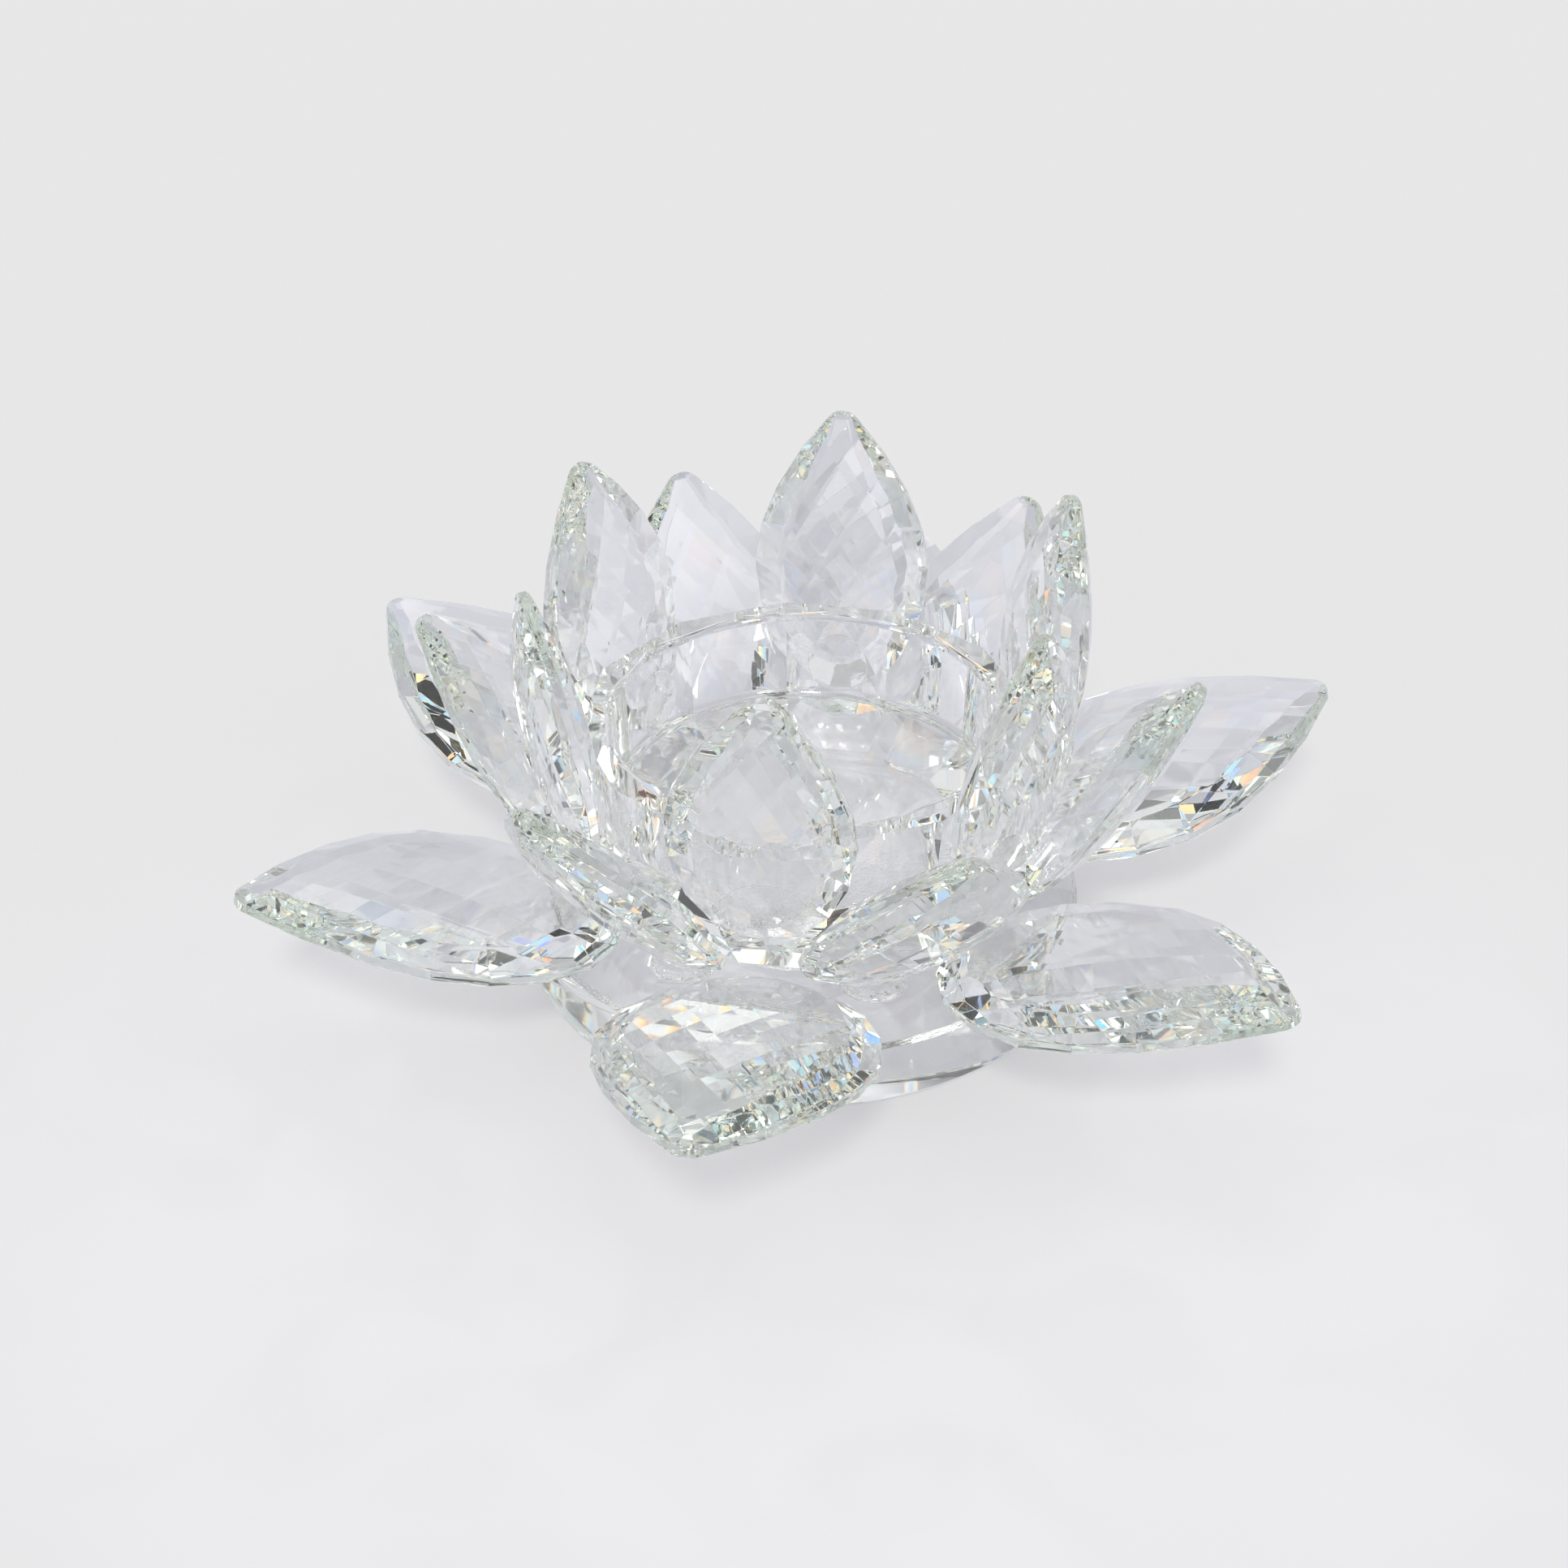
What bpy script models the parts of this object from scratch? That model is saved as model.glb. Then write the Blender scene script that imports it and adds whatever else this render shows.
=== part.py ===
# A lotus tealight holder in faceted clear glass: a round base disc, a candle cup and eighteen cut petals
# in three tiers of six, all bonded with clear adhesive. Metres and degrees, +Z up, origin at the centre of
# the base disc's underside. Azimuths run anticlockwise from +X seen from above.

import math

import bmesh
import bpy
from mathutils import Matrix, Vector
from mathutils.bvhtree import BVHTree

# Clearance between pieces that touch, and the step in which a petal is slid until it clears the tier below
TOUCH = 0.0003
SETTLE_STEP = 0.0001

# Base disc
BASE_RADIUS = 0.0330
BASE_HEIGHT = 0.0074
BASE_WALL_LEAN = 0.0006
BASE_EDGE = 0.0004
BASE_SIDES = 72

# Candle cup, whose outside has two flat facets for each petal of a tier. Rises are from its foot
CUP_FACETS_PER_PETAL = 2
CUP_TURN = 0.0
CUP_BORE_RADIUS = 0.0225
CUP_BORE_DEPTH = 0.0112
CUP_FLOOR_FILLET = 0.0018
CUP_BORE_SIDES = 64
CUP_WALL = 0.0037
CUP_WALL_LEAN = 0.0017
CUP_FOOT_TAPER = 0.0058
CUP_HEIGHT = 0.0229
CUP_RIM_DROP = 0.0002
CUP_WAIST_RISE = 0.0091

# Petals: what every tier shares
PETALS_PER_TIER = 6
FIRST_AZIMUTH = 20.0
GIRDLE_THICKNESS = 0.0010
EDGE_BEVEL_SLOPE = 29.0
EDGE_BEVEL_SHARE = 0.06
WIDEST_AT = 0.44
TIP_FULLNESS = 1.82
TIP_FLAT = 0.0022
FACETS_ALONG = 4
FACETS_ACROSS = 4
EDGE_FACETS_TO_BASE = 4
EDGE_FACETS_TO_TIP = 4

# Upper tier, which leans on the cup's rim. Its least rise is from the cup's foot to the petals' base
UPPER_LENGTH = 0.0349
UPPER_WIDTH = 0.0214
UPPER_THICKNESS = 0.0066
UPPER_SLOPE = 81.5
UPPER_RISE = 0.0090
UPPER_GLUE_RADIUS = 0.0040
UPPER_GLUE_THICKNESS = 0.0002
UPPER_GLUE_RISE = 0.0045

# Middle tier, which leans on the cup's waist and stands on drops of adhesive on the base disc
MIDDLE_LENGTH = 0.0390
MIDDLE_WIDTH = 0.0258
MIDDLE_THICKNESS = 0.0067
MIDDLE_SLOPE = 52.3
MIDDLE_GLUE_RADIUS = 0.0034
MIDDLE_GLUE_THICKNESS = 0.0010

# Lower tier, which lies on the base disc with its base this far from the cup
LOWER_LENGTH = 0.0458
LOWER_WIDTH = 0.0315
LOWER_THICKNESS = 0.0070
LOWER_SLOPE = 15.4
LOWER_CUP_GAP = 0.0048
LOWER_GLUE_RADIUS = 0.0042
LOWER_GLUE_THICKNESS = 0.0003

# Adhesive under the cup's foot, and the number of sides of every drop
FOOT_GLUE_THICKNESS = 0.0004
FOOT_GLUE_INSET = 0.0010
GLUE_SIDES = 24

# Radii and heights that follow from those above
CUP_FACETS = CUP_FACETS_PER_PETAL * PETALS_PER_TIER
CUP_TO_FLAT = math.cos(math.pi / CUP_FACETS)
CUP_FOOT_HEIGHT = BASE_HEIGHT + FOOT_GLUE_THICKNESS + 2 * TOUCH
CUP_TOP_HEIGHT = CUP_FOOT_HEIGHT + CUP_HEIGHT
CUP_RIM_HEIGHT = CUP_TOP_HEIGHT - CUP_RIM_DROP
CUP_WAIST_HEIGHT = CUP_FOOT_HEIGHT + CUP_WAIST_RISE
CUP_RIM_RADIUS = CUP_BORE_RADIUS + CUP_WALL
CUP_WAIST_RADIUS = CUP_RIM_RADIUS - CUP_WALL_LEAN
CUP_FOOT_RADIUS = CUP_WAIST_RADIUS - CUP_FOOT_TAPER
BASE_TOP_RADIUS = BASE_RADIUS - BASE_WALL_LEAN

# How far each petal was set off its even place by hand: turn about the cup, swing in its own plane, and lean
UPPER_SET = [
    (-2.0, 1.0, 0.0),
    (0.0, 1.5, 0.0),
    (0.0, 3.0, 0.0),
    (0.5, -1.5, 0.0),
    (-2.0, 4.0, 0.0),
    (0.0, 1.0, 0.0),
]
MIDDLE_SET = [
    (0.5, 1.5, 0.0),
    (0.5, -1.0, 0.0),
    (0.5, 0.0, 0.0),
    (-1.0, -1.5, 0.5),
    (0.5, 1.5, -0.5),
    (-0.5, -1.0, 0.0),
]
LOWER_SET = [
    (-1.5, 0.8, -1.8),
    (0.0, 0.0, 0.0),
    (1.0, 0.0, -0.5),
    (1.0, -2.0, 0.0),
    (0.0, -1.2, 0.0),
    (-2.0, 2.2, -1.7),
]


def clear_scene():
    for item in list(bpy.data.objects):
        bpy.data.objects.remove(item, do_unlink=True)


def make_collection(name):
    made = bpy.data.collections.new(name)
    bpy.context.scene.collection.children.link(made)
    return made


def make_material(name, colour, roughness, ior):
    material = bpy.data.materials.new(name)
    material.use_nodes = True
    shader = material.node_tree.nodes["Principled BSDF"]
    shader.inputs["Base Color"].default_value = (*colour, 1.0)
    shader.inputs["Roughness"].default_value = roughness
    shader.inputs["Metallic"].default_value = 0.0
    shader.inputs["IOR"].default_value = ior
    shader.inputs["Transmission Weight"].default_value = 1.0
    return material


def add_object(name, mesh, collection, material):
    made = bpy.data.objects.new(name, mesh)
    made.data.materials.append(material)
    collection.objects.link(made)
    return made


def turned(name, profile, sides, collection, material):
    """A solid of revolution about Z: profile is (radius, height) from the top of the axis to its bottom."""
    mesh = bpy.data.meshes.new(name)
    points = [(radius, 0.0, height) for radius, height in profile]
    mesh.from_pydata(points, [(i, i + 1) for i in range(len(points) - 1)], [])
    made = add_object(name, mesh, collection, material)
    screw = made.modifiers.new("Turn", "SCREW")
    screw.steps = sides
    screw.render_steps = sides
    screw.use_merge_vertices = True
    screw.merge_threshold = 0.00001
    return made


def shade_round(item):
    """Fixes the modifiers' result and shades it smooth, with its facets and edges left sharp."""
    bpy.context.view_layer.update()
    graph = bpy.context.evaluated_depsgraph_get()
    mesh = bpy.data.meshes.new_from_object(item.evaluated_get(graph))
    item.modifiers.clear()
    item.data = mesh
    mesh.name = item.name
    mesh.shade_smooth()
    mesh.set_sharp_from_angle(angle=math.radians(180 / CUP_FACETS))
    return item


def leaf_outline(length, width):
    """Half the petal's outline, from its round base at x = 0 to its blunt tip at x = length."""
    half = width / 2
    widest = WIDEST_AT * length
    first_turn = 0.35
    tip_end = (1 - TIP_FLAT / width) ** (1 / TIP_FULLNESS)
    points = []
    for step in range(EDGE_FACETS_TO_BASE + 1):
        turn = math.radians(90) * (step + first_turn) / (EDGE_FACETS_TO_BASE + first_turn)
        points.append((widest * (1 - math.cos(turn)), half * math.sin(turn)))
    for step in range(1, EDGE_FACETS_TO_TIP + 1):
        share = step / EDGE_FACETS_TO_TIP
        across = 1 - (share * tip_end) ** TIP_FULLNESS
        points.append((widest + (length - widest) * share, half * across))
    return points


def edge_planes(outline):
    """The girdle's flats and the row of bevel facets on each side of them, as (point, outward normal)."""
    corners = [(x, -y) for x, y in reversed(outline)] + outline
    slope = math.radians(EDGE_BEVEL_SLOPE)
    planes = []
    for (x0, y0), (x1, y1) in zip(corners, corners[1:] + corners[:1]):
        outward = Vector((y0 - y1, x1 - x0, 0.0)).normalized()
        middle = Vector(((x0 + x1) / 2, (y0 + y1) / 2, 0.0))
        planes.append((middle, outward))
        for side in (1, -1):
            up = Vector((0.0, 0.0, side))
            normal = outward * math.sin(slope) + up * math.cos(slope)
            planes.append((middle + up * GIRDLE_THICKNESS / 2, normal))
    return planes


def face_planes(length, width, thickness):
    """Rhombic facets: planes that touch a shallow dome at the points of a staggered grid, on both faces."""
    crown = thickness / 2
    bevel_rise = EDGE_BEVEL_SHARE * width * math.tan(math.radians(EDGE_BEVEL_SLOPE))
    drop = crown - GIRDLE_THICKNESS / 2 - bevel_rise
    widest = WIDEST_AT * length
    bend_along = 2 * drop / (length / 2) ** 2
    bend_across = 2 * drop / (width / 2) ** 2
    step_along = length / (2 * FACETS_ALONG)
    step_across = width / (2 * FACETS_ACROSS)
    planes = []
    for i in range(-FACETS_ALONG, 2 * FACETS_ALONG):
        for j in range(-FACETS_ACROSS, FACETS_ACROSS + 1):
            x, y = i * step_along, j * step_across
            if (i + j) % 2 or not -widest <= x <= length - widest:
                continue
            height = crown - bend_along * x * x / 2 - bend_across * y * y / 2
            for side in (1, -1):
                normal = Vector((bend_along * x, bend_across * y, side)).normalized()
                planes.append((Vector((widest + x, y, side * height)), normal))
    return planes


def petal_mesh(name, length, width, thickness):
    """A block of glass with everything outside the facets' planes ground away."""
    shape = bmesh.new()
    block = Matrix.Diagonal((1.2 * length, 1.2 * width, 1.2 * thickness, 1.0))
    bmesh.ops.create_cube(shape, size=1.0, matrix=Matrix.Translation((length / 2, 0, 0)) @ block)
    for point, normal in edge_planes(leaf_outline(length, width)) + face_planes(length, width, thickness):
        everything = shape.verts[:] + shape.edges[:] + shape.faces[:]
        cut = bmesh.ops.bisect_plane(
            shape, geom=everything, dist=1e-7, plane_co=point, plane_no=normal, clear_outer=True
        )
        rim = [item for item in cut["geom_cut"] if isinstance(item, bmesh.types.BMEdge)]
        if len(rim) > 2:
            bmesh.ops.edgeloop_fill(shape, edges=rim)
    bmesh.ops.recalc_face_normals(shape, faces=shape.faces)
    mesh = bpy.data.meshes.new(name)
    shape.to_mesh(mesh)
    shape.free()
    return mesh


def slab(mesh, matrix, axis, low, high):
    """Corners of the part of a convex mesh between two levels of an axis, in the matrix's frame."""
    points = [matrix @ vertex.co for vertex in mesh.vertices]
    found = [point for point in points if low <= point[axis] <= high]
    for edge in mesh.edges:
        first, second = (points[index] for index in edge.vertices)
        for level in (low, high):
            before, after = first[axis] - level, second[axis] - level
            if before * after < 0:
                found.append(first.lerp(second, before / (before - after)))
    return found


def leaning(slope, swing):
    """A petal's turn from flat: swung in its own plane, then raised by its slope."""
    return Matrix.Rotation(math.radians(-slope), 4, "Y") @ Matrix.Rotation(math.radians(swing), 4, "Z")


def solid_tree(mesh, matrix, growth):
    """A mesh's surface for overlap tests, moved out by about the growth on all sides."""
    corners = [vertex.co for vertex in mesh.vertices]
    low = Vector([min(corner[axis] for corner in corners) for axis in range(3)])
    high = Vector([max(corner[axis] for corner in corners) for axis in range(3)])
    centre, half = (low + high) / 2, (high - low) / 2
    scale = Vector([1 + growth / half[axis] for axis in range(3)])
    points = [matrix @ (centre + (corner - centre) * scale) for corner in corners]
    return BVHTree.FromPolygons(points, [tuple(face.vertices) for face in mesh.polygons])


def clears(mesh, pose, surfaces):
    """Whether a petal in this pose keeps TOUCH away from all the surfaces."""
    grown = solid_tree(mesh, pose, 1.3 * TOUCH)
    return not any(grown.overlap(surface) for surface in surfaces)


def against_cup(mesh, spoke, pose, cup):
    """The pose moved out along its spoke until the petal just clears the cup."""
    profile = [
        (CUP_FOOT_RADIUS, CUP_FOOT_HEIGHT),
        (CUP_WAIST_RADIUS, CUP_WAIST_HEIGHT),
        (CUP_RIM_RADIUS, CUP_RIM_HEIGHT),
    ]
    reach = 0.0
    for (radius_0, low), (radius_1, high) in zip(profile, profile[1:]):
        for point in slab(mesh, pose, 2, low, high):
            radius = radius_0 + (radius_1 - radius_0) * (point.z - low) / (high - low)
            reach = max(reach, radius * CUP_TO_FLAT - point.x)
    while not clears(mesh, spoke @ Matrix.Translation((reach, 0, 0)) @ pose, [cup]):
        reach += SETTLE_STEP
    return Matrix.Translation((reach, 0, 0)) @ pose


def make_tier(tier, mesh, start, sets, place, below, collection, material):
    """Petals on spokes about the axis, lifted together until they clear the tier below."""
    azimuths = [start + index * 360 / PETALS_PER_TIER for index in range(PETALS_PER_TIER)]
    offsets = [sets[index % len(sets)] for index in range(PETALS_PER_TIER)]
    turns = [math.radians(azimuth + turn) for azimuth, (turn, swing, lean) in zip(azimuths, offsets)]
    spokes = [Matrix.Rotation(turn, 4, "Z") for turn in turns]
    beneath = [solid_tree(petal.data, petal.matrix_world, 0.0) for petal in below]
    lift = 0.0
    while True:
        poses = []
        for azimuth, spoke, (turn, swing, lean) in zip(azimuths, spokes, offsets):
            poses.append(place(azimuth, spoke, swing, lean, lift))
        if all(clears(mesh, spoke @ pose, beneath) for spoke, pose in zip(spokes, poses)):
            break
        lift += SETTLE_STEP
    petals = []
    for index, (matrix, pose) in enumerate(zip(spokes, poses)):
        spoke = bpy.data.objects.new(f"{tier}_spoke_{index + 1}", None)
        spoke.matrix_world = matrix
        collection.objects.link(spoke)
        petal = add_object(f"{tier}_petal_{index + 1}", mesh, collection, material)
        petal.parent = spoke
        petal.matrix_basis = pose
        petals.append(petal)
    bpy.context.view_layer.update()
    return azimuths, petals


def glue_drop(name, radius, thickness, matrix, collection, material):
    """A flat drop of adhesive with a rounded edge, lying across the matrix's Z axis."""
    half = thickness / 2
    round_off = half * 0.6
    profile = [
        (0.0, half),
        (radius - round_off, half),
        (radius, half - round_off),
        (radius, round_off - half),
        (radius - round_off, -half),
        (0.0, -half),
    ]
    drop = turned(name, profile, GLUE_SIDES, collection, material)
    drop.matrix_world = matrix
    return shade_round(drop)


def make_base(collection, material):
    profile = [
        (0.0, BASE_HEIGHT),
        (BASE_TOP_RADIUS - BASE_EDGE, BASE_HEIGHT),
        (BASE_TOP_RADIUS, BASE_HEIGHT - BASE_EDGE),
        (BASE_RADIUS, BASE_EDGE),
        (BASE_RADIUS - BASE_EDGE, 0.0),
        (0.0, 0.0),
    ]
    return shade_round(turned("base_disc", profile, BASE_SIDES, collection, material))


def make_cup(collection, cutters, material):
    """A faceted outside turned in few steps, with a round candle bore cut into it."""
    outside = [
        (0.0, CUP_TOP_HEIGHT),
        (CUP_BORE_RADIUS, CUP_TOP_HEIGHT),
        (CUP_RIM_RADIUS, CUP_RIM_HEIGHT),
        (CUP_WAIST_RADIUS, CUP_WAIST_HEIGHT),
        (CUP_FOOT_RADIUS, CUP_FOOT_HEIGHT),
        (0.0, CUP_FOOT_HEIGHT),
    ]
    cup = turned("candle_cup", outside, CUP_FACETS, collection, material)
    cup.rotation_euler.z = math.radians(FIRST_AZIMUTH + CUP_TURN + 180 / CUP_FACETS)
    floor = CUP_TOP_HEIGHT - CUP_BORE_DEPTH
    above = CUP_TOP_HEIGHT + CUP_BORE_DEPTH
    bore = [
        (0.0, above),
        (CUP_BORE_RADIUS, above),
        (CUP_BORE_RADIUS, floor + CUP_FLOOR_FILLET),
        (CUP_BORE_RADIUS - CUP_FLOOR_FILLET * 0.3, floor + CUP_FLOOR_FILLET * 0.3),
        (CUP_BORE_RADIUS - CUP_FLOOR_FILLET, floor),
        (0.0, floor),
    ]
    cutter = turned("cup_bore", bore, CUP_BORE_SIDES, cutters, material)
    cutter.hide_render = True
    cutter.display_type = "WIRE"
    hollow = cup.modifiers.new("Candle bore", "BOOLEAN")
    hollow.operation = "DIFFERENCE"
    hollow.object = cutter
    return shade_round(cup)


def on_cup_wall(azimuth, height):
    """A place on the cup's wall, with Z pointing out of the facet that faces a petal at this azimuth."""
    rise = CUP_RIM_HEIGHT - CUP_WAIST_HEIGHT
    spread = CUP_WALL_LEAN * CUP_TO_FLAT
    share = (height - CUP_WAIST_HEIGHT) / rise
    outward = Vector((rise, 0.0, -spread)).to_track_quat("Z", "Y").to_matrix().to_4x4()
    seat = Matrix.Translation((CUP_WAIST_RADIUS * CUP_TO_FLAT + spread * share, 0.0, height))
    return Matrix.Rotation(math.radians(azimuth + CUP_TURN), 4, "Z") @ seat @ outward


def room_at(seat, mesh, matrix):
    """Least distance from a seat on the cup's wall to the part of a petal that lies over its drop."""
    near = slab(mesh, seat.inverted() @ matrix, 1, -UPPER_GLUE_RADIUS, UPPER_GLUE_RADIUS)
    return min(point.z for point in near)


def make_upper_tier(cup, below, collection, glass, glue):
    mesh = petal_mesh("upper_petal", UPPER_LENGTH, UPPER_WIDTH, UPPER_THICKNESS)
    base_height = CUP_FOOT_HEIGHT + UPPER_RISE

    def place(azimuth, spoke, swing, lean, lift):
        height = base_height + lift
        pose = Matrix.Translation((0, 0, height)) @ leaning(UPPER_SLOPE + lean, swing)
        pose = against_cup(mesh, spoke, pose, cup)
        room = room_at(on_cup_wall(azimuth, height + UPPER_GLUE_RISE), mesh, spoke @ pose)
        short = UPPER_GLUE_THICKNESS + 2 * TOUCH - room
        return Matrix.Translation((max(short, 0.0), 0, 0)) @ pose

    start = FIRST_AZIMUTH
    azimuths, petals = make_tier("upper", mesh, start, UPPER_SET, place, below, collection, glass)
    for index, (azimuth, petal) in enumerate(zip(azimuths, petals)):
        seat = on_cup_wall(azimuth, petal.matrix_world.translation.z + UPPER_GLUE_RISE)
        room = room_at(seat, mesh, petal.matrix_world)
        matrix = seat @ Matrix.Translation((0, 0, room / 2))
        name = f"upper_glue_{index + 1}"
        glue_drop(name, UPPER_GLUE_RADIUS, room - 2 * TOUCH, matrix, collection, glue)


def make_middle_tier(cup, below, collection, glass, glue):
    mesh = petal_mesh("middle_petal", MIDDLE_LENGTH, MIDDLE_WIDTH, MIDDLE_THICKNESS)
    stand = BASE_HEIGHT + MIDDLE_GLUE_THICKNESS + 2 * TOUCH

    def place(azimuth, spoke, swing, lean, lift):
        pose = leaning(MIDDLE_SLOPE + lean, swing)
        lowest = min((pose @ vertex.co).z for vertex in mesh.vertices)
        pose = Matrix.Translation((0, 0, stand + lift - lowest)) @ pose
        return against_cup(mesh, spoke, pose, cup)

    start = FIRST_AZIMUTH + 180 / PETALS_PER_TIER
    azimuths, petals = make_tier("middle", mesh, start, MIDDLE_SET, place, below, collection, glass)
    for index, petal in enumerate(petals):
        foot = min((petal.matrix_world @ vertex.co).z for vertex in mesh.vertices)
        centre = petal.matrix_world.translation
        matrix = Matrix.Translation((centre.x, centre.y, (BASE_HEIGHT + foot) / 2))
        thickness = foot - BASE_HEIGHT - 2 * TOUCH
        glue_drop(f"middle_glue_{index + 1}", MIDDLE_GLUE_RADIUS, thickness, matrix, collection, glue)
    return petals


def make_lower_tier(cup, collection, glass, glue):
    mesh = petal_mesh("lower_petal", LOWER_LENGTH, LOWER_WIDTH, LOWER_THICKNESS)
    stand = BASE_HEIGHT + LOWER_GLUE_THICKNESS + 2 * TOUCH
    to_cup = Matrix.Translation((LOWER_CUP_GAP, 0, 0))

    def place(azimuth, spoke, swing, lean, lift):
        pose = Matrix.Translation((0, 0, CUP_FOOT_HEIGHT)) @ leaning(LOWER_SLOPE + lean, swing)
        pose = to_cup @ against_cup(mesh, spoke, pose, cup)
        lowest = min(point.z for point in slab(mesh, pose, 0, 0.0, BASE_TOP_RADIUS))
        return Matrix.Translation((0, 0, stand + lift - lowest)) @ pose

    start = FIRST_AZIMUTH
    azimuths, petals = make_tier("lower", mesh, start, LOWER_SET, place, [], collection, glass)
    height = BASE_HEIGHT + TOUCH + LOWER_GLUE_THICKNESS / 2
    for index, petal in enumerate(petals):
        reach = petal.matrix_basis.translation.x
        middle = Matrix.Translation(((reach + BASE_TOP_RADIUS) / 2, 0, height))
        matrix = petal.parent.matrix_world @ middle
        name = f"lower_glue_{index + 1}"
        glue_drop(name, LOWER_GLUE_RADIUS, LOWER_GLUE_THICKNESS, matrix, collection, glue)
    return petals


def make_foot_glue(collection, glue):
    matrix = Matrix.Translation((0, 0, BASE_HEIGHT + TOUCH + FOOT_GLUE_THICKNESS / 2))
    radius = CUP_FOOT_RADIUS - FOOT_GLUE_INSET
    return glue_drop("foot_glue", radius, FOOT_GLUE_THICKNESS, matrix, collection, glue)


def main():
    clear_scene()
    holder = make_collection("Lotus candle holder")
    cutters = make_collection("Cutters")
    petal_glass = make_material("Petal glass", (0.97, 0.98, 0.97), 0.02, 1.52)
    cup_glass = make_material("Cup glass", (0.98, 0.98, 0.98), 0.02, 1.52)
    base_glass = make_material("Base glass", (0.98, 0.98, 0.99), 0.03, 1.52)
    adhesive = make_material("Clear adhesive", (0.99, 0.99, 0.98), 0.08, 1.48)
    make_base(holder, base_glass)
    make_foot_glue(holder, adhesive)
    cup = make_cup(holder, cutters, cup_glass)
    bpy.context.view_layer.update()
    cup_surface = solid_tree(cup.data, cup.matrix_world, 0.0)
    lower = make_lower_tier(cup_surface, holder, petal_glass, adhesive)
    middle = make_middle_tier(cup_surface, lower, holder, petal_glass, adhesive)
    make_upper_tier(cup_surface, middle, holder, petal_glass, adhesive)


main()
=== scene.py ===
# Lotus tealight holder in faceted clear glass, on a pale studio floor.
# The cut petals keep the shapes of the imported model, with their polished and ground surfaces told apart. The
# cup, the disc and the drops of adhesive are made rounder and smoother here, and then come the floor, the
# lights and the camera. Everything is in metres, +Z up, and the camera looks from the -Y side.

import math

import bpy
import numpy as np
from mathutils import Matrix, Vector, noise


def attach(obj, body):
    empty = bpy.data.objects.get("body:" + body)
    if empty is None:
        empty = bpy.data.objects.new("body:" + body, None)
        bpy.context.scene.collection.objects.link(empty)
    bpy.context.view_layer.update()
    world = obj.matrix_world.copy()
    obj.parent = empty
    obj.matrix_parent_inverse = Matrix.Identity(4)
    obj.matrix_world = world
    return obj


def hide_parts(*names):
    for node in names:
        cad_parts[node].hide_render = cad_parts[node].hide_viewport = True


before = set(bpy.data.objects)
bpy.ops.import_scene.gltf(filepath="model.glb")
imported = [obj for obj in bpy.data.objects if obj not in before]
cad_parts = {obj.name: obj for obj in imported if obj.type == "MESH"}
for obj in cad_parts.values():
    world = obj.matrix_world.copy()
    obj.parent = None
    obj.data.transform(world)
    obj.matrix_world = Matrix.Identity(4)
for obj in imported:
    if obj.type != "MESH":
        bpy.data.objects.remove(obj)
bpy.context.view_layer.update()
scene = bpy.context.scene
print("frame loaded,", len(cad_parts), "nodes")


# helpers for modelling

def only(item):
    if bpy.context.mode != "OBJECT":
        bpy.ops.object.mode_set(mode="OBJECT")
    bpy.ops.object.select_all(action="DESELECT")
    item.select_set(True)
    bpy.context.view_layer.objects.active = item


def editAll(item):
    only(item)
    bpy.ops.object.mode_set(mode="EDIT")
    bpy.ops.mesh.select_all(action="SELECT")


def pickFaces(item, test):
    only(item)
    bpy.ops.object.mode_set(mode="EDIT")
    bpy.context.tool_settings.mesh_select_mode = (False, False, True)
    bpy.ops.mesh.select_all(action="DESELECT")
    bpy.ops.object.mode_set(mode="OBJECT")
    for face in item.data.polygons:
        face.select = bool(test(face))
    bpy.ops.object.mode_set(mode="EDIT")


def pickEdges(item, test):
    only(item)
    bpy.ops.object.mode_set(mode="EDIT")
    bpy.context.tool_settings.mesh_select_mode = (False, True, False)
    bpy.ops.mesh.select_all(action="DESELECT")
    bpy.ops.object.mode_set(mode="OBJECT")
    places = item.data.vertices
    for edge in item.data.edges:
        edge.select = bool(test(places[edge.vertices[0]].co, places[edge.vertices[1]].co))
    bpy.ops.object.mode_set(mode="EDIT")


def backToObject():
    bpy.ops.object.mode_set(mode="OBJECT")


def applyModifier(item, modifier):
    only(item)
    bpy.ops.object.modifier_apply(modifier=modifier.name)


def finishPiece(item, name, node, material):
    item.name = item.data.name = name
    item.data.materials.clear()
    item.data.materials.append(material)
    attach(item, "root")
    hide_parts(node)
    return item


def markFaces(item, attribute, weigh):
    mesh = item.data
    marks = mesh.attributes.new(attribute, "FLOAT", "CORNER")
    values = np.zeros(len(mesh.loops))
    for face in mesh.polygons:
        values[face.loop_start:face.loop_start + face.loop_total] = weigh(face)
    marks.data.foreach_set("value", values)


# helpers for materials

def addNode(tree, kind, inputs=None, **settings):
    node = tree.nodes.new(kind)
    for name, value in settings.items():
        setattr(node, name, value)
    for name, value in (inputs or {}).items():
        node.inputs[name].default_value = value
    return node


def addRamp(tree, factor, stops, interpolation="LINEAR"):
    node = addNode(tree, "ShaderNodeValToRGB")
    node.color_ramp.interpolation = interpolation
    elements = node.color_ramp.elements
    while len(elements) < len(stops):
        elements.new(0.5)
    for element, (position, colour) in zip(elements, stops):
        element.position = position
        element.color = colour if isinstance(colour, tuple) else (colour, colour, colour, 1.0)
    tree.links.new(factor, node.inputs["Fac"])
    return node.outputs["Color"]


def addMath(tree, operation, first, second):
    node = addNode(tree, "ShaderNodeMath", operation=operation)
    for socket, value in zip(node.inputs, (first, second)):
        if isinstance(value, (int, float)):
            socket.default_value = value
        else:
            tree.links.new(value, socket)
    return node.outputs["Value"]


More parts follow.
